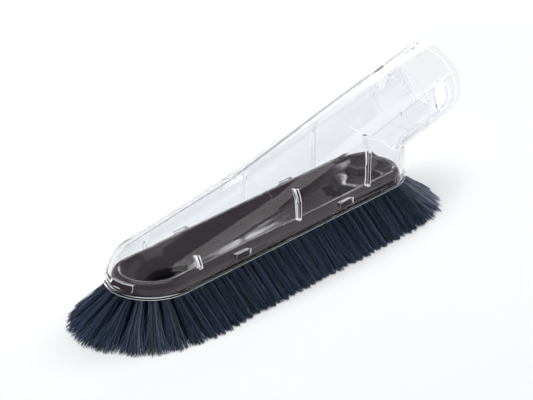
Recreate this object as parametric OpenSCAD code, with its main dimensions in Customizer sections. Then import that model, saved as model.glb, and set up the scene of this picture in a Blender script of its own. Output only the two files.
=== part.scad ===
// Dusting brush for a vacuum cleaner: a clear one-piece housing with an angled
// socket tube, a moulded base that snaps into it, and two rows of soft tufts.
// Millimetres, +Z up. X runs from the nose to the tube. The brush rests on its
// tips, and the origin is on the floor under the middle of its length. The
// shapes are drawn from the middle of the housing's lower edge, then placed.

/* [Housing] */
// Length of the housing's wall at its lower edge
shell_l = 188; // [150:1:230]
// Diameter of the socket, and width inside the housing
socket_d = 35; // [31:0.1:38]
// Thickness of the housing's wall
wall = 2.1; // [1.6:0.1:2.6]
// Height of the housing's lower edge above the floor
lip_z = 17.7; // [14:0.1:24]
// How far the bead on the lower edge stands out
lip_proud = 0.7; // [0.3:0.1:1.2]
// Height of the bead on the lower edge
lip_h = 1.4; // [0.8:0.1:2]
// Height of the nose dome's centre above the lower edge
spring_h = 0.8; // [0.6:0.1:2]

/* [Tube] */
// Slope of the tube
tube_angle = 11.4; // [8:0.1:14]
// Where the tube's axis meets the plane of the lower edge
tube_foot_x = -53.4; // [-60:0.1:-45]
// Where the nose meets the tube
kink_x = -9.3; // [-20:0.1:5]
// Distance along the tube's axis from the lower edge's plane to the rim
rim_s = 184.5; // [172:0.5:200]
// Depth of the socket, from the rim to its stop
socket_depth = 26; // [24:0.5:32]
// Step in radius at the socket's stop
stop_step = 0.8; // [0.5:0.1:1.2]
// Depth of the wider mouth
mouth_depth = 4.6; // [3:0.1:6]
// How much wider in radius the mouth is
mouth_step = 0.7; // [0.4:0.1:1]
// Width of the slot in the top of the rim
slot_w = 7; // [5:0.1:9]
// Length of the slot
slot_l = 17; // [12:0.5:20]
// Size of each catch hole along the tube
catch_l = 10; // [8:0.5:11]
// Size of each catch hole round the tube
catch_w = 14; // [12:0.5:16]
// Distance of the catch holes from the rim
catch_s = 16.5; // [14:0.5:18]
// Angle of each catch hole from the top of the tube
catch_angle = 84; // [75:1:100]

/* [Housing ribs and windows] */
// Places of the ribs along the housing
rib_x = [-62, 4.1, 55.3];
// Thickness of a rib
rib_t = 1.6; // [1.2:0.1:2.4]
// Depth of a rib, inwards from the wall
rib_d = 2; // [1.5:0.1:2.4]
// How far a rib climbs round the wall above its widest line, in degrees
rib_climb = 33; // [20:1:45]
// Distance of the side windows from the middle
window_x = 36.6; // [30:0.1:45]
// Width of a side window
window_w = 9; // [7:0.1:12]
// Height of a window
window_h = 2.6; // [2:0.1:3]
// Height of a window's lower edge above the housing's lower edge
window_low = 2.7; // [2.2:0.1:3]
// Width of the window in the nose
nose_window_w = 12; // [8:0.1:14]

/* [Base] */
// Gap between the base and the housing
base_gap = 0.2; // [0.15:0.05:0.3]
// Radius of the bead round the base
bead_r = 3; // [2.6:0.1:3.2]
// Height of the bead's centre above the housing's lower edge
bead_h = 2.9; // [2.7:0.1:3.4]
// Height of the base's outer corner above the housing's lower edge
corner_h = 0.5; // [0.3:0.1:0.8]
// Depth of the well's floor below the housing's lower edge
floor_d = 1.9; // [1.5:0.1:2.2]
// Depth of the base's underside below the housing's lower edge
under_d = 4.9; // [4.4:0.1:5.4]
// Slope of the well's side
well_slope = 52; // [46:1:56]
// Radius between the well's side and its floor
well_r = 5; // [3:0.1:6]
// Gap round a snap tab in its window
tab_gap = 0.2; // [0.1:0.05:0.3]
// How far a snap tab stands out of the base
tab_out = 1.8; // [1.2:0.1:2.1]
// Height of a snap tab's outer edge, below its ramp
tab_edge_h = 0.9; // [0.6:0.1:1.2]

/* [Suction ports] */
// Middle of the front port
front_port_x = -65.6; // [-70:0.1:-60]
// Length of the front port
front_port_l = 29.4; // [24:0.1:32]
// Width of the front port
front_port_w = 13.4; // [10:0.1:14]
// Front edge of the rear port
rear_port_x = 50; // [45:0.5:52]
// Length of the rear port
rear_port_l = 7; // [5:0.1:8]
// Width of the rear port
rear_port_w = 14; // [10:0.1:15]
// Width of the straight middle of the shelf's front edge
shelf_nose_w = 4; // [2:0.5:8]
// How far the shelf's front edge rakes back to its sides
shelf_rake = 4.5; // [2:0.5:6]
// Height of the shelf behind the rear port, above the housing's lower edge
shelf_h = 1.5; // [1:0.1:2]
// Width of the shelf between the rear port and the tip of the pocket
bridge_w = 3.2; // [2:0.1:5]
// Width of the shelf left beside the pocket, measured to where it meets the well
pocket_rim = 0.8; // [0.5:0.1:2]

/* [Tufts] */
// Spacing of the tufts along a row
pitch = 4.8; // [4.6:0.1:6]
// Diameter of a tuft at its root
tuft_d = 3; // [2.4:0.1:3.2]
// Gap round a tuft in its hole
tuft_gap = 0.1; // [0.05:0.05:0.2]
// Depth of a tuft's hole
hole_depth = 3.6; // [3:0.1:3.8]
// Tip diameter of a tuft on the straight sides
side_tip_d = 4.6; // [3.6:0.1:4.6]
// Tip diameter of a tuft at the middle of either end
end_tip_d = 7; // [5:0.1:7.4]
// Distance of the outer row's roots in from the base's edge
row_inset = 2.3; // [2:0.1:2.6]
// Distance between the roots of the two rows
row_gap = 3.7; // [3.5:0.1:3.9]
// Width of the flat underside beyond the inner row's roots
flat_in = 2; // [1.8:0.1:2.4]
// Splay of the tufts along the sides
side_splay = 39; // [30:1:42]
// Splay of the tufts at the nose
nose_splay = 43; // [34:1:48]
// Splay of the tufts at the tail
tail_splay = 52; // [40:1:54]
// Thickness of the metal anchor in each tuft
anchor_t = 0.3; // [0.2:0.05:0.4]
// Depth of the anchor, along the tuft
anchor_h = 1.4; // [1:0.1:1.8]

/* [Hidden] */
OUTER_RUNS = 28;
INNER_RUNS = 26;
function run_name(row, i) = str(row, "_tufts_", i < 9 ? "0" : "", i + 1);
OUTER_NAMES = [for (i = [0:OUTER_RUNS - 1]) run_name("outer", i)];
INNER_NAMES = [for (i = [0:INNER_RUNS - 1]) run_name("inner", i)];

$fn = 64;
// overlap that buries one shape in the shape that carries it
bury = 0.6;
// how far each upright form stands in from the rounder form above it
tuck = 0.1;
// length of a tuft outside its hole before it starts to fan out
flare_from = 0.8;
// smoothness of a tuft and its hole
tuft_fn = 24;

cavity_r = socket_d / 2;
shell_r = cavity_r + wall;
end_x = shell_l / 2 - shell_r;
tube_dir = [cos(tube_angle), 0, sin(tube_angle)];
function tube_at(s) = [tube_foot_x, 0, lip_z] + s * tube_dir;
kink = tube_at((kink_x - tube_foot_x) / cos(tube_angle));
nose = [-end_x, 0, lip_z + spring_h];
nose_angle = atan2(kink.z - nose.z, kink.x - nose.x);
nose_l = norm(kink - nose);
// height of the housing's axis at a place along it
function axis_z(x) =
    x < nose.x ? nose.z
    : x < kink.x ? nose.z + (x - nose.x) * tan(nose_angle)
    : kink.z + (x - kink.x) * tan(tube_angle);
throat_r = cavity_r - stop_step;
mouth_r = cavity_r + mouth_step;
// how far a cutting shape runs past what it cuts
past = 2;

base_r = cavity_r - base_gap;
bead_c = [base_r - bead_r, bead_h];
crest_h = bead_h + bead_r;
slope_dir = [cos(well_slope), sin(well_slope)];
slope_top = bead_c + bead_r * [-sin(well_slope), cos(well_slope)];
corner = [slope_top.x - (slope_top.y + floor_d) / tan(well_slope), -floor_d];
fillet_l = well_r * tan(well_slope / 2);
// half width of the well at the shelf's height
well_w = corner.x + (shelf_h + floor_d) / tan(well_slope);
// how far the shelf runs into the well's side
shelf_bury = 1;
shelf_w = well_w + shelf_bury;
// how far the middle of the shelf's round end stands in from the base's end centre
shelf_in = 1;
shelf_back = end_x - shelf_in;
// how far the pocket's pointed part stops short of the middle of its round part
pocket_short = 1;
pocket_r = well_w - pocket_rim;
outer_row_r = base_r - row_inset;
inner_row_r = outer_row_r - row_gap;
under_w = inner_row_r - flat_in;
// gap between a rib's foot and the crest of the base
rib_foot_gap = 0.1;
// width of the flat ring at the base's outer corner
edge_flat = 0.7;

// underside's slanted face, from the flat's edge to the outer corner
slant_end = [base_r - edge_flat, corner_h];
function slant_h(r) = -under_d + (r - under_w) * (corner_h + under_d) / (slant_end.x - under_w);

// A stadium about the middle line, with its round ends at the two end centres.
module stadium(r) {
    square([2 * end_x, 2 * r], center = true);
    for (side = [-1, 1]) translate([side * end_x, 0]) circle(r);
}

// A profile carried round the stadium: x is the distance from the middle line.
module stadium_sweep() {
    for (side = [0, 180]) rotate(side) {
        translate([end_x, 0, 0]) rotate(-90) rotate_extrude(angle = 180) children();
        translate([end_x, 0, 0]) rotate([90, 0, -90]) linear_extrude(2 * end_x) children();
    }
}

// The nose: a dome and the crown that slopes up from it, turned as one.
module nose_form(r) {
    translate(nose) rotate([0, 90 - nose_angle, 0]) rotate_extrude() {
        intersection() {
            circle(r);
            translate([0, -r]) square([r, r]);
        }
        square([r, nose_l]);
    }
}

// The round form along the tube's axis, of radius r, from the kink on.
module tube_form(r, l) {
    translate(kink) rotate([0, 90 - tube_angle, 0]) cylinder(r = r, h = l);
}

// The upright sides and ends, from the height low up to the axis line.
module upright_form(r, low) {
    reach = end_x + r + past;
    intersection() {
        translate([0, 0, low]) linear_extrude(axis_z(reach)) stadium(r);
        rotate([90, 0, 0]) linear_extrude(2 * (r + past), center = true) polygon([
            [-reach, low], [-reach, nose.z], [nose.x, nose.z],
            [kink.x, kink.z], [reach, axis_z(reach)], [reach, low]]);
    }
}

// The space inside the housing's body at a distance r from its axis line,
// closed at the tail by the upright end.
module cavity_form(r, low) {
    nose_form(r - tuck);
    intersection() {
        tube_form(r, 2 * end_x);
        linear_extrude(axis_z(end_x + r) + 2 * r) stadium(r - 2 * tuck);
    }
    upright_form(r - 2 * tuck, low);
}

// All that lies below a height.
module below(h) {
    translate([0, 0, h - shell_l]) linear_extrude(shell_l) square(2 * shell_l, center = true);
}

// Puts a shape on the tube's axis, at a distance from the rim, with its own Z
// along the tube and its own X towards the top of the tube.
module at_rim(depth) {
    translate(tube_at(rim_s - depth)) rotate([0, 90 - tube_angle, 0]) rotate(180) children();
}

// A slot with round ends, standing on its middle.
module obround(l, w, h) {
    translate([0, 0, h / 2]) cube([l - w, w, h], center = true);
    for (side = [-1, 1]) translate([side * (l - w) / 2, 0, 0]) cylinder(d = w, h = h);
}

module socket_cuts() {
    at_rim(rim_s) cylinder(r = throat_r, h = rim_s + past);
    at_rim(socket_depth) cylinder(d = socket_d, h = socket_depth + past);
    at_rim(mouth_depth) cylinder(r = mouth_r, h = mouth_depth + past);
    at_rim(slot_l - slot_w / 2) rotate([0, 90, 0]) {
        cylinder(d = slot_w, h = shell_r + past);
        translate([-slot_l, -slot_w / 2, 0]) cube([slot_l, slot_w, shell_r + past]);
    }
    for (side = [-1, 1]) at_rim(catch_s) rotate(side * catch_angle) rotate([0, 90, 0])
        rotate(90) obround(catch_w, catch_l, shell_r + past);
}

module windows() {
    for (x = [-window_x, window_x]) translate([x - window_w / 2, -shell_r - past, lip_z + window_low])
        cube([window_w, 2 * (shell_r + past), window_h]);
    translate([-end_x - shell_r - past, -nose_window_w / 2, lip_z + window_low])
        cube([shell_r + past, nose_window_w, window_h]);
}

module housing_ribs() {
    foot = lip_z + crest_h + rib_foot_gap;
    intersection() {
        difference() {
            cavity_form(cavity_r + bury, lip_z);
            cavity_form(cavity_r - rib_d, lip_z - past);
        }
        for (x = rib_x) translate([x - rib_t / 2, -shell_r, foot])
            cube([rib_t, 2 * shell_r, axis_z(x) + (cavity_r - rib_d) * sin(rib_climb) - foot]);
    }
}

module housing() color([0.86, 0.88, 0.9, 0.4]) {
    difference() {
        union() {
            nose_form(shell_r - tuck);
            tube_form(shell_r, norm(tube_at(rim_s) - kink));
            upright_form(shell_r - 2 * tuck, lip_z);
            translate([0, 0, lip_z]) linear_extrude(lip_h) stadium(shell_r + lip_proud);
        }
        cavity_form(cavity_r, lip_z - past);
        socket_cuts();
        windows();
        below(lip_z);
    }
    housing_ribs();
}

module base_profile() {
    difference() {
        union() {
            polygon([
                [0, -under_d], [under_w, -under_d], slant_end, [base_r, corner_h],
                [base_r, bead_h], bead_c, slope_top, corner + fillet_l * slope_dir,
                corner - [fillet_l, 0], [0, -floor_d]]);
            translate(bead_c) circle(bead_r);
        }
        translate(corner + [-fillet_l, well_r]) circle(well_r);
    }
}

// The shelf that fills the tail of the well, behind the rear port.
module shelf() {
    front = rear_port_x + rear_port_l;
    translate([0, 0, lip_z - floor_d - bury]) linear_extrude(shelf_h + floor_d + bury) {
        polygon([
            [front, -shelf_nose_w / 2], [front, shelf_nose_w / 2], [front + shelf_rake, shelf_w],
            [shelf_back, shelf_w], [shelf_back, -shelf_w], [front + shelf_rake, -shelf_w]]);
        translate([shelf_back, 0]) circle(shelf_w + bury / 2);
    }
}

// The rear port, which runs a little way under the shelf's front edge.
module rear_port() {
    translate([rear_port_x, -rear_port_w / 2, 0]) cube([rear_port_l + bury, rear_port_w, lip_z]);
}

// The front port through the floor, and the pocket that opens out to the tail.
module front_port_and_pocket() {
    tip_x = rear_port_x + rear_port_l + bridge_w;
    wedge_end = shelf_back - pocket_short;
    translate([front_port_x, 0, 0]) lens(front_port_l, front_port_w, lip_z);
    translate([0, 0, lip_z - floor_d]) linear_extrude(shelf_h + floor_d + past) {
        translate([shelf_back, 0]) circle(pocket_r);
        polygon([[tip_x, 0], [wedge_end, pocket_r - tuck], [wedge_end, tuck - pocket_r]]);
    }
}

module base() color("#5f5558") difference() {
    union() {
        difference() {
            translate([0, 0, lip_z]) stadium_sweep() base_profile();
            rear_port();
        }
        shelf();
        snap_tabs();
    }
    front_port_and_pocket();
    tuft_holes();
}

// A port with two arcs for its sides, pointed at both ends.
module lens(l, w, h) {
    r = (l * l + w * w) / (4 * w);
    intersection_for (side = [-1, 1]) translate([0, side * (r - w / 2), 0]) cylinder(r = r, h = h);
}

// A snap tab that points along X, with a ramp on top that lets it spring into
// its window from below.
module snap_tab(w) {
    tab_h = window_h - 2 * tab_gap;
    out = base_r + tab_out;
    translate([0, 0, lip_z + window_low + tab_gap]) rotate([90, 0, 0])
        linear_extrude(w - 2 * tab_gap, center = true)
            polygon([[bead_c.x, 0], [out, 0], [out, tab_edge_h], [base_r, tab_h], [bead_c.x, tab_h]]);
}

module snap_tabs() {
    for (x = [-window_x, window_x], side = [-90, 90]) translate([x, 0, 0]) rotate(side) snap_tab(window_w);
    translate([-end_x, 0, 0]) rotate(180) snap_tab(nose_window_w);
}

// Rows of tufts. A row runs round the stadium from the far corner of the tail.
function side_count() = floor(2 * end_x / pitch);
function end_count(r) = max(3, round(PI * r / pitch));
function row_count(r) = 2 * (side_count() + end_count(r));
// Place number i of a row: [x, y, heading of the outward direction].
function row_place(r, i) =
    let (n = side_count(), m = end_count(r), k = i % (n + m), side = i < n + m ? 1 : -1)
    let (along = end_x - (k + 0.5) * 2 * end_x / n, a = (k - n + 0.5) * 180 / m)
    k < n ? [side * along, side * r, side * 90]
    : [-side * (end_x + r * sin(a)), side * r * cos(a), side * 90 + a];
function end_share(heading) = pow(cos(heading), 2);
function end_splay(heading) = cos(heading) > 0 ? tail_splay : nose_splay;
function splay(heading) = side_splay + end_share(heading) * (end_splay(heading) - side_splay);
function tip_d(heading) = side_tip_d + end_share(heading) * (end_tip_d - side_tip_d);

// Height of a tuft's root above the floor, and the X of its tip's outer edge.
function root_h(r) = lip_z + slant_h(r);
function tip_x(r, place) =
    let (out = root_h(r) * tan(splay(place.z)) + tip_d(place.z) / 2 / cos(splay(place.z)))
    place.x + cos(place.z) * out;

// Puts a shape at a tuft's root, with its own Z down the tuft.
module at_root(r, place) {
    translate([place.x, place.y, root_h(r)]) rotate(place.z) rotate([0, 180 - splay(place.z), 0])
        children();
}

module tuft_holes() {
    for (r = [outer_row_r, inner_row_r], i = [0:row_count(r) - 1])
        at_root(r, row_place(r, i)) translate([0, 0, -hole_depth])
            cylinder(d = tuft_d + 2 * tuft_gap, h = hole_depth + past, $fn = tuft_fn);
}

module tuft(r, place) {
    length = (root_h(r) + tip_d(place.z)) / cos(splay(place.z));
    at_root(r, place) difference() {
        union() {
            translate([0, 0, -hole_depth + tuft_gap])
                cylinder(d = tuft_d, h = hole_depth + flare_from - tuft_gap, $fn = tuft_fn);
            translate([0, 0, flare_from])
                cylinder(d1 = tuft_d, d2 = tip_d(place.z), h = length - flare_from, $fn = tuft_fn);
        }
        anchor(anchor_t + 2 * tuft_gap, anchor_h + tuft_gap);
    }
}

// The strip of metal that a tuft is folded over, in the bottom of its hole.
module anchor(t, h) {
    translate([-t / 2, -tuft_d / 2, -hole_depth + tuft_gap]) cube([t, tuft_d, h]);
}

// One run of neighbouring tufts, out of the runs that a row is shared into.
module tufts(r, run, runs) color("#1a2230") {
    n = row_count(r);
    difference() {
        for (i = [floor(run * n / runs):floor((run + 1) * n / runs) - 1]) tuft(r, row_place(r, i));
        below(0);
    }
}

module anchors(r) color("silver") {
    for (i = [0:row_count(r) - 1]) at_root(r, row_place(r, i)) anchor(anchor_t, anchor_h);
}

// Middle of the brush's length, between the outermost tips and the tube's rim.
front_x = min([for (i = [0:row_count(outer_row_r) - 1]) tip_x(outer_row_r, row_place(outer_row_r, i))]);
rear_x = tube_at(rim_s).x + shell_r * sin(tube_angle);
mid_x = (front_x + rear_x) / 2;

module placed() {
    translate([-mid_x, 0, 0]) children();
}

placed() housing();
placed() base();
placed() anchors(outer_row_r);  // outer_anchors
placed() anchors(inner_row_r);  // inner_anchors
for (i = [0:OUTER_RUNS - 1]) placed() tufts(outer_row_r, i, OUTER_RUNS);
for (i = [0:INNER_RUNS - 1]) placed() tufts(inner_row_r, i, INNER_RUNS);
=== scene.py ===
from math import cos, pi, radians, sin, sqrt

import bmesh
import bpy
import numpy as np
from mathutils import Matrix, Vector


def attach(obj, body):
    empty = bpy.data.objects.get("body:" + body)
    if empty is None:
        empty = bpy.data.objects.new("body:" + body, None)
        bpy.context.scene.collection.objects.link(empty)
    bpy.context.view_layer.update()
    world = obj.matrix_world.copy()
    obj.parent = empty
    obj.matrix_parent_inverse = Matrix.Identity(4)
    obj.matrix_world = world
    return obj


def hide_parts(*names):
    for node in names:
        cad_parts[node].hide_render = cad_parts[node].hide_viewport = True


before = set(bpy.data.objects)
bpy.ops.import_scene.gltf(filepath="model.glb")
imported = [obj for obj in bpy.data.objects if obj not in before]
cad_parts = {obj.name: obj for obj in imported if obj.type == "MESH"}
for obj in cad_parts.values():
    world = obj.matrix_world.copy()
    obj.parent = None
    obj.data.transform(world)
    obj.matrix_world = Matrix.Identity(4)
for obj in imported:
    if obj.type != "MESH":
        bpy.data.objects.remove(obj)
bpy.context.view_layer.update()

# Base
# One injection moulding in warm grey ABS, polished in the mould. It has a rounded
# bead all round, a sloped well, two suction ports and the drilled tuft holes, and
# it snaps into the housing's five windows.
MM = 0.001
END_X = 74.4 * MM            # from the middle of the base to the middle of either round end
MID_X = 10.91 * MM           # how far the middle of the base lies from the origin, towards the nose
EDGE_RADIUS = 0.25 * MM      # what the mould leaves on a sharp edge
EDGE_TURN = 10               # degrees by which such an edge turns more than the facets of a round face
NARROW_STEP = 1.2 * EDGE_RADIUS      # a step narrower than this keeps its edges sharp
ONE_POINT = 0.001 * MM       # corners of the CAD's loose triangles that are closer than this are one
TAB_R = 17.4 * MM            # what lies farther than this from the middle line is a snap tab
UPRIGHT = 0.5                # a wall is a face whose normal rises or falls less than this
PORT_Z = (12.7 * MM, 19.4 * MM)      # the ports' walls, from the underside up into the well's sides
PORT_Y = 7.2 * MM            # how far from the middle they reach
SHELF_X = 48 * MM            # behind this, walls above the well's floor are the shelf's and not a port's
WELL_FLOOR_Z = 15.8 * MM
COLOUR_A, COLOUR_B, MIXED = 6, 7, 2      # a Mix node's two colour inputs, and its colour output


def linear(code):
    """An sRGB hex colour as linear RGBA."""
    parts = [int(code[i:i + 2], 16) / 255 for i in (1, 3, 5)]
    return [c / 12.92 if c <= 0.04045 else ((c + 0.055) / 1.055) ** 2.4 for c in parts] + [1.0]


def add_node(tree, kind, settings=None, **links):
    """Adds a node. Settings are its attributes, or its inputs by name or number. Links are the inputs
    that another node's output feeds, by name or as i0, i1 and so on."""
    node = tree.nodes.new(kind)
    for key, value in (settings or {}).items():
        if isinstance(key, str) and hasattr(node, key):
            setattr(node, key, value)
        else:
            node.inputs[key].default_value = value
    for key, socket in links.items():
        numbered = key[0] == "i" and key[1:].isdigit()
        tree.links.new(socket, node.inputs[int(key[1:]) if numbered else key.replace("_", " ")])
    return node


def new_material(name):
    """An empty node material, its node tree and its output node."""
    material = bpy.data.materials.new(name)
    material.use_nodes = True
    material.node_tree.nodes.clear()
    return material, material.node_tree, material.node_tree.nodes.new("ShaderNodeOutputMaterial")


def off_middle(at):
    """How far a point stands from the base's middle line, seen from above."""
    return Vector((max(abs(at.x + MID_X) - END_X, 0), at.y)).length


def merged_copy(name, cad_node, facet_turn, edge_slot=-1, spared=lambda at: False):
    """A moulding's own surface from its CAD node, with three empty material slots. Loose triangles
    are merged, sharp edges are broken to a radius apart from the spared ones, and faces that turn
    by less than facet_turn degrees are shaded round. Slot -1 gives an edge its neighbour's slot."""
    piece = bpy.data.objects.new(name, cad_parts[cad_node].data.copy())
    bpy.context.scene.collection.objects.link(piece)
    bpy.ops.object.select_all(action="DESELECT")
    bpy.context.view_layer.objects.active = piece
    piece.select_set(True)
    if piece.data.has_custom_normals:
        bpy.ops.mesh.customdata_custom_splitnormals_clear()
    bpy.ops.object.mode_set(mode="EDIT")
    bpy.ops.mesh.select_all(action="SELECT")
    bpy.ops.mesh.remove_doubles(threshold=ONE_POINT)
    bpy.ops.object.mode_set(mode="OBJECT")
    piece.data.materials.clear()
    for slot in range(3):
        piece.data.materials.append(None)
    shape = bmesh.new()
    shape.from_mesh(piece.data)
    broken = shape.edges.layers.float.new("bevel_weight_edge")
    for edge in shape.edges:
        middle = (edge.verts[0].co + edge.verts[1].co) / 2
        step = min((2 * face.calc_area() / edge.calc_length() for face in edge.link_faces), default=0)
        sharp = edge.calc_face_angle(0) > radians(facet_turn + EDGE_TURN)
        edge[broken] = sharp and step > NARROW_STEP and not spared(middle)
    shape.to_mesh(piece.data)
    shape.free()
    bpy.ops.object.modifier_add(type="BEVEL")
    bevel = piece.modifiers[-1]
    bevel.width, bevel.segments, bevel.limit_method = EDGE_RADIUS, 2, "WEIGHT"
    bevel.use_clamp_overlap, bevel.material = False, edge_slot
    bpy.ops.object.modifier_apply(modifier=bevel.name)
    bpy.ops.object.shade_smooth_by_angle(angle=radians(facet_turn))
    return piece


base = merged_copy("base_moulding", "base", 35)

# Polished ABS: an even warm grey with a clear gloss. Faint flow marks, some 11 mm
# across, and a very light ripple of 1.7 mm soften and break up its reflections.
polished_abs, tree, out = new_material("polished_abs")
coords = add_node(tree, "ShaderNodeTexCoord")
flow = add_node(tree, "ShaderNodeTexNoise", {"Scale": 1 / (11.11 * MM), "Detail": 3.0},
                Vector=coords.outputs["Object"])
tint = add_node(tree, "ShaderNodeMix",
                {"data_type": "RGBA", COLOUR_A: linear("#30272a"), COLOUR_B: linear("#3c3236")},
                Factor=flow.outputs["Fac"])
rough = add_node(tree, "ShaderNodeMapRange", {"To Min": 0.1, "To Max": 0.16}, Value=flow.outputs["Fac"])
ripple = add_node(tree, "ShaderNodeTexNoise", {"Scale": 1 / (1.667 * MM), "Detail": 1.0},
                  Vector=coords.outputs["Object"])
bump = add_node(tree, "ShaderNodeBump", {"Strength": 0.08, "Distance": 0.2 * MM},
                Height=ripple.outputs["Fac"])
shader = add_node(tree, "ShaderNodeBsdfPrincipled", {"IOR": 1.54, "Specular IOR Level": 0.4},
                  Base_Color=tint.outputs[MIXED], Roughness=rough.outputs[0], Normal=bump.outputs[0])
tree.links.new(shader.outputs[0], out.inputs["Surface"])
base.data.materials[0] = polished_abs


def matt_abs(name, darker, lighter):
    """ABS as the mould leaves it where nobody polishes it: dull, with a fine grain, drawn at 0.7 mm
    so that it shows."""
    material, tree, out = new_material(name)
    coords = add_node(tree, "ShaderNodeTexCoord")
    grain = add_node(tree, "ShaderNodeTexNoise", {"Scale": 1 / (0.667 * MM)},
                     Vector=coords.outputs["Object"])
    tint = add_node(tree, "ShaderNodeMix",
                    {"data_type": "RGBA", COLOUR_A: linear(darker), COLOUR_B: linear(lighter)},
                    Factor=grain.outputs["Fac"])
    shader = add_node(tree, "ShaderNodeBsdfPrincipled", {"Roughness": 0.7, "Specular IOR Level": 0.2},
                      Base_Color=tint.outputs[MIXED])
    tree.links.new(shader.outputs[0], out.inputs["Surface"])
    return material


# The walls of the ports are matt and painted darker, as painted shade, and the snap tabs are matt.
base.data.materials[1] = matt_abs("matt_abs_ports_painted_shade", "#1d1719", "#241d20")
base.data.materials[2] = matt_abs("matt_abs_tabs", "#332a2d", "#3a3135")
# Faces on the ports' walls take the darker ABS, painted shade; faces on the tabs take the matt one.
for face in base.data.polygons:
    at = face.center
    port_height = PORT_Z[0] < at.z < (PORT_Z[1] if at.x < SHELF_X else WELL_FLOOR_Z)
    if port_height and abs(face.normal.z) < UPRIGHT and abs(at.y) < PORT_Y:
        face.material_index = 1
    elif off_middle(at) > TAB_R:
        face.material_index = 2
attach(base, "root")
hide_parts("base")

# Anchors
# A flat strip of galvanised steel in each tuft hole, pressed in with the fold of
# the tuft. They are the CAD's own strips, and only their ends can be glimpsed.
# Galvanised steel: a bright grey with spangles of 1.1 mm.
galvanised_steel, tree, out = new_material("galvanised_steel")
coords = add_node(tree, "ShaderNodeTexCoord")
spangle = add_node(tree, "ShaderNodeTexVoronoi", {"Scale": 1 / (1.111 * MM)},
                   Vector=coords.outputs["Object"])
tint = add_node(tree, "ShaderNodeMix",
                {"data_type": "RGBA", COLOUR_A: linear("#a9abad"), COLOUR_B: linear("#c6c8ca")},
                Factor=spangle.outputs["Color"])
shader = add_node(tree, "ShaderNodeBsdfPrincipled", {"Metallic": 1.0, "Roughness": 0.4},
                  Base_Color=tint.outputs[MIXED])
tree.links.new(shader.outputs[0], out.inputs["Surface"])
for name in ("outer_anchors", "inner_anchors"):
    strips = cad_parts[name]
    strips.data.materials.clear()
    strips.data.materials.append(galvanised_steel)

# Tufts
# Two rows of soft nylon tufts, dyed dark navy, folded over their anchors in the
# base's holes and trimmed level. They splay out all round, most at the tail.
PITCH = 4.8 * MM             # from one tuft to the next
# each row's distance from the middle line, and the height at which its tufts leave the slanted rim
OUTER = {"name": "outer", "radius": 15 * MM, "root_z": 17.016 * MM, "runs": 28}
INNER = {"name": "inner", "radius": 11.3 * MM, "root_z": 14.279 * MM, "runs": 26}
ROOT_RADIUS = 1.42 * MM      # of a tuft in its hole
SINK = 1.6 * MM              # how far the filaments are modelled into their hole
STRANDS = 130                # filaments in a tuft
STRAND_R = 0.17 * MM         # some 3 times coarser than the real 0.1 mm ones, so that they show
STRAND_BENDS = (0.3, 0.55, 0.78)     # shares of a filament's length at which it can bend
TIP_FROM = 0.99              # past this share of its length a point is the filament's tip
TIP_THICK = 0.8              # the tip's thickness, as a share of the filament's
SPLAY = {"side": 39, "nose": 43, "tail": 52}      # degrees from straight down
# radius of a tuft at its tips, outwards and along the row
TIP_RADIUS = {"side": (2.3 * MM, 2.35 * MM), "nose": (2.6 * MM, 6.8 * MM), "tail": (2.8 * MM, 8 * MM)}
# how far the tips lie outside the hole's own line
LEAN = {"side": 2.2 * MM, "nose": 3.8 * MM, "tail": 2.2 * MM}
LEAN_BEND = 1.3              # how late a tuft leans and spreads outwards, where 1 is evenly
FLARE = {"nose": 2.2, "tail": 1.3}      # how late it spreads along the row
INNER_WIDER, INNER_FLARE = 0.4, 1.3     # how much wider the inner row spreads at the ends, and how late
GOLDEN_ANGLE = pi * (3 - sqrt(5))
# as shares of a tuft's radius: how unevenly its filaments stand, how far their tips stray, how much
# more they stray at the tail, and how far they all stray together
UNEVEN, STRAY, TAIL_STRAY, TUFT_STRAY = 0.05, 0.14, 0.05, 0.1
CURL = 0.5 * MM              # how far a filament bows out of line
CUT = 0.03                   # the share of its length by which one may be cut short
TIP_GAP = (0.05, 0.7)        # millimetres between a filament's end and the floor
rng = np.random.default_rng(11)

# one filament: a three-sided rod of unit size, cut across so that it can curve
bpy.ops.object.select_all(action="DESELECT")
bpy.ops.mesh.primitive_cylinder_add(vertices=3, radius=1, depth=1, end_fill_type="NOTHING",
                                    location=(0, 0, 0.5))
strand = bpy.context.object
bpy.ops.object.mode_set(mode="EDIT")
for level in STRAND_BENDS:
    bpy.ops.mesh.select_all(action="SELECT")
    bpy.ops.mesh.bisect(plane_co=(0, 0, level), plane_no=(0, 0, 1))
bpy.ops.object.mode_set(mode="OBJECT")
strand_at = np.array([point.co[:] for point in strand.data.vertices])
strand_at[:, 2] += 0.5 - (strand_at[:, 2].max() + strand_at[:, 2].min()) / 2
strand_corners = np.array([face.vertices[:] for face in strand.data.polygons])
bpy.data.objects.remove(strand)
strand_thick = np.where(strand_at[:, 2] > TIP_FROM, TIP_THICK, 1.0) * STRAND_R


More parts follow.
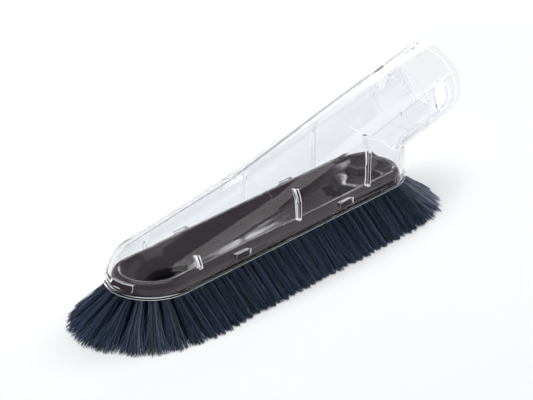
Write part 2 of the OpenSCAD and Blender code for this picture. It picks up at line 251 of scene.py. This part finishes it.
def tuft_points(x, y, heading, row):
    """The points of one tuft's filaments, from its hole to the floor."""
    out_way = np.array([cos(heading), sin(heading), 0])
    across = np.array([-sin(heading), cos(heading), 0])
    share = cos(heading) ** 2
    end = "tail" if cos(heading) > 0 else "nose"
    splay = radians(SPLAY["side"] + share * (SPLAY[end] - SPLAY["side"]))
    down = sin(splay) * out_way - cos(splay) * np.array([0, 0, 1])
    over = cos(splay) * out_way + sin(splay) * np.array([0, 0, 1])
    root = np.array([x, y, row["root_z"]])
    length = row["root_z"] / cos(splay)
    lean = LEAN["side"] + share * (LEAN[end] - LEAN["side"])
    # the tips stand apart as soon as the row turns round an end, and the inner row has fewer tufts
    # there, so each of them fans out wider
    fan = sqrt(abs(cos(heading)))
    (side_over, side_across), (end_over, end_across) = TIP_RADIUS["side"], TIP_RADIUS[end]
    tip_over = side_over + share * (end_over - side_over)
    tip_across = side_across + fan * (end_across - side_across)
    flare = FLARE[end]
    if row is INNER:
        tip_across, flare = tip_across * (1 + INNER_WIDER * fan), INNER_FLARE
    # filaments stand evenly over the tuft's round section, each a little off its place
    number = np.arange(STRANDS) + 0.5
    rho = np.sqrt(number / STRANDS)
    phi = number * GOLDEN_ANGLE + rng.uniform(0, 2 * pi)
    outward = rho * np.cos(phi) + rng.normal(0, UNEVEN, STRANDS)
    sideways = rho * np.sin(phi) + rng.normal(0, UNEVEN, STRANDS)
    stray = rng.normal(0, STRAY + TAIL_STRAY * (end == "tail") * share, (STRANDS, 2))
    stray = stray + rng.normal(0, TUFT_STRAY, 2)
    curl = rng.normal(0, CURL, (STRANDS, 2))
    cut = rng.uniform(0, CUT, STRANDS)
    tall = strand_at[:, 2]
    points = np.empty((STRANDS, len(tall), 3))
    for k in range(STRANDS):
        t = tall * (1 - cut[k])
        a = (outward[k] + stray[k, 0] * t ** 2) * (ROOT_RADIUS + (tip_over - ROOT_RADIUS) * t ** LEAN_BEND)
        b = (sideways[k] + stray[k, 1] * t ** 2) * (ROOT_RADIUS + (tip_across - ROOT_RADIUS) * t ** flare)
        a += curl[k, 0] * np.sin(pi * t) + lean * t ** LEAN_BEND
        b += curl[k, 1] * np.sin(pi * t)
        along = t * (length + SINK) - SINK
        place = root + np.outer(along, down) + np.outer(a, over) + np.outer(b, across)
        # each filament runs on until it all but meets the floor
        low = place[tall > TIP_FROM, 2].min()
        grow = (low - rng.uniform(*TIP_GAP) * MM) / cos(splay)
        place += np.outer(t * grow, down)
        place += np.outer(strand_at[:, 0] * strand_thick, over)
        place += np.outer(strand_at[:, 1] * strand_thick, across)
        points[k] = place
    return points.reshape(-1, 3)


def row_places(radius):
    """The roots of a row, in order round it: x, y and the heading that each tuft splays to."""
    side_count = int(2 * END_X // PITCH)
    end_count = round(pi * radius / PITCH)
    places = []
    for side in (1, -1):
        for k in range(side_count):
            x = side * (END_X - (k + 0.5) * 2 * END_X / side_count)
            places.append((x - MID_X, side * radius, side * pi / 2))
        for k in range(end_count):
            turn = (k + 0.5) * pi / end_count
            x = -side * (END_X + radius * sin(turn))
            places.append((x - MID_X, side * radius * cos(turn), side * pi / 2 + turn))
    return places


# Nylon filament, dyed in the mass: a dark navy with a soft sheen along each
# filament, some a shade lighter than their neighbours. Painted shade darkens each
# filament towards its root, painted light pales it towards its tip, and more
# painted light pales the tail's tufts.
dyed_nylon, tree, out = new_material("dyed_nylon_filament")
shade = add_node(tree, "ShaderNodeAttribute", {"attribute_name": "shade"})
tint = add_node(tree, "ShaderNodeMix",
                {"data_type": "RGBA", COLOUR_A: linear("#131c2d"), COLOUR_B: linear("#6079a4")},
                Factor=shade.outputs["Fac"])
shader = add_node(tree, "ShaderNodeBsdfPrincipled", {"Roughness": 0.42, "IOR": 1.53},
                  Base_Color=tint.outputs[MIXED])
tree.links.new(shader.outputs[0], out.inputs["Surface"])
SHADE, SHADE_SPREAD = 0.28, 0.2      # from the darker colour to the paler one
TAIL_PAINTED_LIGHT = 0.4                     # painted light: the tail's tufts are drawn paler, as if they caught more light
ROOT_PAINTED_SHADE, TIP_PAINTED_LIGHT = 0.6, 1.1     # painted shade at the root and painted light at the tip: how the tone grows along a filament

for row in (OUTER, INNER):
    places = row_places(row["radius"])
    for run in range(row["runs"]):
        first, last = run * len(places) // row["runs"], (run + 1) * len(places) // row["runs"]
        points = np.vstack([tuft_points(*place, row) for place in places[first:last]])
        count = len(points) // len(strand_at)
        offsets = np.arange(count)[:, None, None] * len(strand_at)
        faces = (strand_corners[None] + offsets).reshape(-1, 4)
        mesh = bpy.data.meshes.new("%s_bristle_%02d" % (row["name"], run + 1))
        mesh.from_pydata(points.tolist(), [], faces.tolist())
        # Each tuft's tone is set at random; then painted light pales the tail's tufts, and each filament
        # runs from painted shade at its root to painted light at its tip.
        tail_share = np.repeat([max(cos(heading), 0) for x, y, heading in places[first:last]], STRANDS)
        value = np.clip(rng.normal(SHADE, SHADE_SPREAD, count) + TAIL_PAINTED_LIGHT * tail_share, 0, 1)
        along = np.tile(ROOT_PAINTED_SHADE + (TIP_PAINTED_LIGHT - ROOT_PAINTED_SHADE) * strand_at[:, 2], count)
        value = np.repeat(value, len(strand_at)) * along
        mesh.attributes.new("shade", "FLOAT", "POINT").data.foreach_set("value", value.astype(np.float32))
        piece = bpy.data.objects.new(mesh.name, mesh)
        bpy.context.scene.collection.objects.link(piece)
        mesh.materials.append(dyed_nylon)
        for face in mesh.polygons:
            face.use_smooth = True
        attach(piece, "root")
        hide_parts("%s_tufts_%02d" % (row["name"], run + 1))

# Housing
# One injection moulding in clear polycarbonate: hood and socket tube in one, with
# a bead round its edge, hoop ribs inside and windows for the base's tabs.
LIP_Z = 17.7 * MM            # the housing's lower edge
BEAD_TOP = LIP_Z + 1.4 * MM
WINDOW_LOW, WINDOW_TOP = LIP_Z + 2.7 * MM, LIP_Z + 5.3 * MM
WALL_MID_R, BEAD_R = 18.6 * MM, 19 * MM      # half-way through the wall, and near its outer side
WINDOW_R = (16.5 * MM, 20.8 * MM)        # the windows' upper faces lie between these distances from the
CEILING_Z = (20.8 * MM, 24.5 * MM)       # middle line, and between these heights,
FACES_DOWN = -0.9                        # and their normals fall more than this
TUBE_FOOT = Vector((-53.4 * MM - MID_X, 0, LIP_Z))      # where the tube's axis meets that edge's plane
TUBE_SLOPE = radians(11.4)
TUBE_WAY = Vector((cos(TUBE_SLOPE), 0, sin(TUBE_SLOPE)))
THROAT_S, MOUTH_S = 109.2 * MM, 181.2 * MM      # along that axis, from before the throat to the mouth
TUBE_IN_R = 18 * MM          # between the socket's radius and the mouth's
NEAR = 0.3 * MM              # an edge this close to a height lies on it


def left_sharp(at):
    """True for the edges that are left sharp and get no painted highlight: inside the tube, the windows'
    lower and inner edges, and the upper edge of the bead."""
    along = (at - TUBE_FOOT).dot(TUBE_WAY)
    in_tube = THROAT_S < along < MOUTH_S and (at - TUBE_FOOT - along * TUBE_WAY).length < TUBE_IN_R
    off = off_middle(at)
    in_window = WINDOW_LOW - NEAR < at.z < WINDOW_TOP + NEAR
    low_or_inner = off < WALL_MID_R or at.z < WINDOW_LOW + NEAR
    on_bead = abs(at.z - BEAD_TOP) < NEAR and off > BEAD_R
    return in_tube or (in_window and low_or_inner) or on_bead


# The broken edges take slot 1, the painted highlight.
housing = merged_copy("clear_housing", "housing", 30, edge_slot=1, spared=left_sharp)

# Clear polycarbonate, polished: a faint grey body and a slight waviness of 17 mm.
# Its IOR is below the plastic's own 1.58, matched to how little the real wall bends
# and mirrors what lies behind it, and a thin coat gives its gloss. Lamps shine
# through it on to what it covers.
clear, tree, out = new_material("clear_polycarbonate")
coords = add_node(tree, "ShaderNodeTexCoord")
wave = add_node(tree, "ShaderNodeTexNoise", {"Scale": 1 / (16.67 * MM), "Detail": 2.0},
                Vector=coords.outputs["Object"])
bump = add_node(tree, "ShaderNodeBump", {"Strength": 0.05, "Distance": 0.4 * MM},
                Height=wave.outputs["Fac"])
rough = add_node(tree, "ShaderNodeMapRange", {"To Min": 0.01, "To Max": 0.04}, Value=wave.outputs["Fac"])
glassy = add_node(tree, "ShaderNodeBsdfPrincipled",
                  {"Transmission Weight": 1.0, "IOR": 1.13, "Coat Weight": 0.05, "Coat Roughness": 0.02,
                   "Base Color": linear("#f3f4f6")},
                  Roughness=rough.outputs[0], Normal=bump.outputs[0])
passed = add_node(tree, "ShaderNodeBsdfTransparent", {"Color": linear("#eeeeef")})
path = add_node(tree, "ShaderNodeLightPath")
both = add_node(tree, "ShaderNodeMixShader", i0=path.outputs["Is Shadow Ray"], i1=glassy.outputs[0],
                i2=passed.outputs[0])
tree.links.new(both.outputs[0], out.inputs["Surface"])
housing.data.materials[0] = clear

# Its broken edges are drawn as fine pale lines round the lip, the windows and the
# ribs: a painted highlight, whiter and less clear, with a full coat, that glows
# faintly though it is no lamp.
painted_highlight_edge = clear.copy()
painted_highlight_edge.name = "clear_polycarbonate_painted_highlight_edge"
painted_highlight_shader = painted_highlight_edge.node_tree.nodes["Principled BSDF"]
painted_highlight_shader.inputs["Transmission Weight"].default_value = 0.25
painted_highlight_shader.inputs["Coat Weight"].default_value = 1.0
painted_highlight_shader.inputs["Base Color"].default_value = linear("#ffffff")
painted_highlight_shader.inputs["Emission Color"].default_value = linear("#ffffff")
painted_highlight_shader.inputs["Emission Strength"].default_value = 0.5
housing.data.materials[1] = painted_highlight_edge

# The slides that form the windows leave the windows' upper faces dull, so these
# mirror no lamp, and these down-facing faces are tinted grey: painted shade.
dull_painted_shade_face = clear.copy()
dull_painted_shade_face.name = "clear_polycarbonate_window_painted_shade"
dull_painted_shade_shader = dull_painted_shade_face.node_tree.nodes["Principled BSDF"]
dull_painted_shade_face.node_tree.links.remove(dull_painted_shade_shader.inputs["Roughness"].links[0])
dull_painted_shade_shader.inputs["Roughness"].default_value = 0.6
# painted shade: a grey tint on the windows' upper faces
dull_painted_shade_shader.inputs["Base Color"].default_value = linear("#8a8586")
housing.data.materials[2] = dull_painted_shade_face
for face in housing.data.polygons:
    at = face.center
    in_window = WINDOW_R[0] < off_middle(at) < WINDOW_R[1] and CEILING_Z[0] < at.z < CEILING_Z[1]
    if in_window and face.normal.z < FACES_DOWN:
        face.material_index = 2
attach(housing, "root")
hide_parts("housing")

# Floor
# A sweep of white paper, as under a product photograph. It keeps the brush's
# shadow, and away from the brush it is lifted to white for the camera, for
# reflections and for what shows through the housing. Within an oval round the
# brush the lift fades out, which adds a painted soft shadow to the real one.
SHADOW_X, SHADOW_Y = 118 * MM, 34 * MM     # half the length and width of the floor under the brush, round which the lift fades in: a painted shadow
bpy.ops.object.select_all(action="DESELECT")
bpy.ops.mesh.primitive_plane_add(size=8, location=(0, 0, 0))
floor = bpy.context.object
floor.name = "floor"


def seen_rays(tree):
    """1 for the rays by which the camera sees a thing itself, mirrored or through the housing."""
    path = add_node(tree, "ShaderNodeLightPath")
    mirrored = add_node(tree, "ShaderNodeMath", {"operation": "MAXIMUM"},
                        i0=path.outputs["Is Camera Ray"], i1=path.outputs["Is Glossy Ray"])
    through = add_node(tree, "ShaderNodeMath", {"operation": "MAXIMUM"},
                       i0=mirrored.outputs[0], i1=path.outputs["Is Transmission Ray"])
    return through.outputs[0]


# White paper: matt, with a faint mottle, drawn at 2.5 mm so that it shows.
paper, tree, out = new_material("white_paper_sweep")
coords = add_node(tree, "ShaderNodeTexCoord")
fibre = add_node(tree, "ShaderNodeTexNoise", {"Scale": 1 / (2.5 * MM)}, Vector=coords.outputs["Object"])
tint = add_node(tree, "ShaderNodeMix",
                {"data_type": "RGBA", COLOUR_A: linear("#f1f1f1"), COLOUR_B: linear("#f5f5f5")},
                Factor=fibre.outputs["Fac"])
matt = add_node(tree, "ShaderNodeBsdfDiffuse", Color=tint.outputs[MIXED])
reach = add_node(tree, "ShaderNodeVectorMath",
                 {"operation": "MULTIPLY", 1: (1 / SHADOW_X, 1 / SHADOW_Y, 0)},
                 i0=coords.outputs["Object"])
away = add_node(tree, "ShaderNodeVectorMath", {"operation": "LENGTH"}, i0=reach.outputs[0])
# painted shadow: no lift inside 0.8 of that oval, full lift past 1.35 of it
open_floor = add_node(tree, "ShaderNodeMapRange",
                      {"From Min": 0.8, "From Max": 1.35, "To Max": 0.28,
                       "interpolation_type": "SMOOTHSTEP"},
                      Value=away.outputs["Value"])
far = add_node(tree, "ShaderNodeVectorMath", {"operation": "LENGTH"}, i0=coords.outputs["Object"])
far_floor = add_node(tree, "ShaderNodeMapRange", {"From Min": 0.35, "From Max": 1.2, "To Max": 0.8},
                     Value=far.outputs["Value"])
total = add_node(tree, "ShaderNodeMath", {"operation": "ADD"}, i0=open_floor.outputs[0],
                 i1=far_floor.outputs[0])
glow = add_node(tree, "ShaderNodeMath", {"operation": "MULTIPLY"}, i0=seen_rays(tree),
                i1=total.outputs[0])
lift = add_node(tree, "ShaderNodeEmission", Strength=glow.outputs[0])
both = add_node(tree, "ShaderNodeAddShader", i0=matt.outputs[0], i1=lift.outputs[0])
tree.links.new(both.outputs[0], out.inputs["Surface"])
floor.data.materials.append(paper)

# Studio
# A dim, faintly blue room lights the brush, and the camera and reflections see
# the paper's white rise up to the horizon in it.
world = bpy.data.worlds.new("studio")
bpy.context.scene.world = world
world.use_nodes = True
tree = world.node_tree
tree.nodes.clear()
out = tree.nodes.new("ShaderNodeOutputWorld")
coords = add_node(tree, "ShaderNodeTexCoord")
heights = add_node(tree, "ShaderNodeSeparateXYZ", i0=coords.outputs["Object"])
low = add_node(tree, "ShaderNodeMapRange",
               {"From Min": 0.03, "From Max": 0.08, "To Min": 1.0, "To Max": 0.0},
               Value=heights.outputs["Z"])
share = add_node(tree, "ShaderNodeMath", {"operation": "MULTIPLY"}, i0=seen_rays(tree),
                 i1=low.outputs[0])
room = add_node(tree, "ShaderNodeBackground", {"Color": (0.9, 0.93, 1.0, 1), "Strength": 0.25})
rise = add_node(tree, "ShaderNodeBackground", {"Strength": 1.0})
both = add_node(tree, "ShaderNodeMixShader", i0=share.outputs[0], i1=room.outputs[0],
                i2=rise.outputs[0])
tree.links.new(both.outputs[0], out.inputs["Surface"])


def soft_lamp(name, place, size, watts, aim=(0, 0, 0.03), hidden_from=()):
    """A large lamp or lit card, turned to face the brush, that some kinds of ray don't meet."""
    light = bpy.data.lights.new(name, "AREA")
    light.shape = "RECTANGLE"
    light.size, light.size_y = size
    light.energy = watts
    lamp = bpy.data.objects.new(name, light)
    bpy.context.scene.collection.objects.link(lamp)
    lamp.location = place
    lamp.rotation_euler = (Vector(aim) - Vector(place)).to_track_quat("-Z", "Y").to_euler()
    for ray in hidden_from:
        setattr(lamp, "visible_" + ray, False)


# The overhead lamp lights the scene. The next three are mirrored, by the top of
# the tube, by the floor of the well and by the tube's near side.
soft_lamp("overhead", place=(0.1, 0.2, 1.2), size=(1.0, 1.0), watts=8.5, aim=(0, 0, 0))
soft_lamp("behind", place=(0.68, 0.87, 0.69), size=(1.0, 0.35), watts=3.6,
          hidden_from=("diffuse", "transmission"))
soft_lamp("low", place=(0.99, 0.82, 0.57), size=(0.5, 0.2), watts=1.7)
soft_lamp("right", place=(0.73, -0.91, 0.5), size=(1.0, 0.6), watts=17,
          hidden_from=("diffuse", "transmission"))
soft_lamp("left", place=(-0.9, 0.3, 0.7), size=(0.5, 0.9), watts=2)

# Camera
# It stands where the photograph's perspective puts it, worked out from the tube,
# the rim, the ribs and the base's long edges.
AZIMUTH, ELEVATION, ROLL = radians(-50.45), radians(23.35), radians(0.19)
STAND = Vector((-0.6219 - MID_X, -0.5153, 0.3786))
PHOTO_PX, FOCAL_PX = 533, 1958.83      # the photograph's width and focal length, in pixels
SENSOR = 36                            # millimetres
cam = bpy.data.cameras.new("camera")
cam.sensor_width = SENSOR
cam.lens = SENSOR * FOCAL_PX / PHOTO_PX
cam.clip_start, cam.clip_end = 0.05, 20
camera = bpy.data.objects.new("camera", cam)
bpy.context.scene.collection.objects.link(camera)
back = Vector((sin(AZIMUTH) * cos(ELEVATION), -cos(AZIMUTH) * cos(ELEVATION), sin(ELEVATION)))
right = (-back).cross(Vector((0, 0, 1))).normalized()
up = right.cross(-back)
rolled_right = cos(ROLL) * right + sin(ROLL) * up
rolled_up = -sin(ROLL) * right + cos(ROLL) * up
turned = Matrix((rolled_right, rolled_up, back)).transposed().to_4x4()
camera.matrix_world = Matrix.Translation(STAND) @ turned
bpy.context.scene.camera = camera
bpy.context.scene.view_settings.view_transform = "Standard"
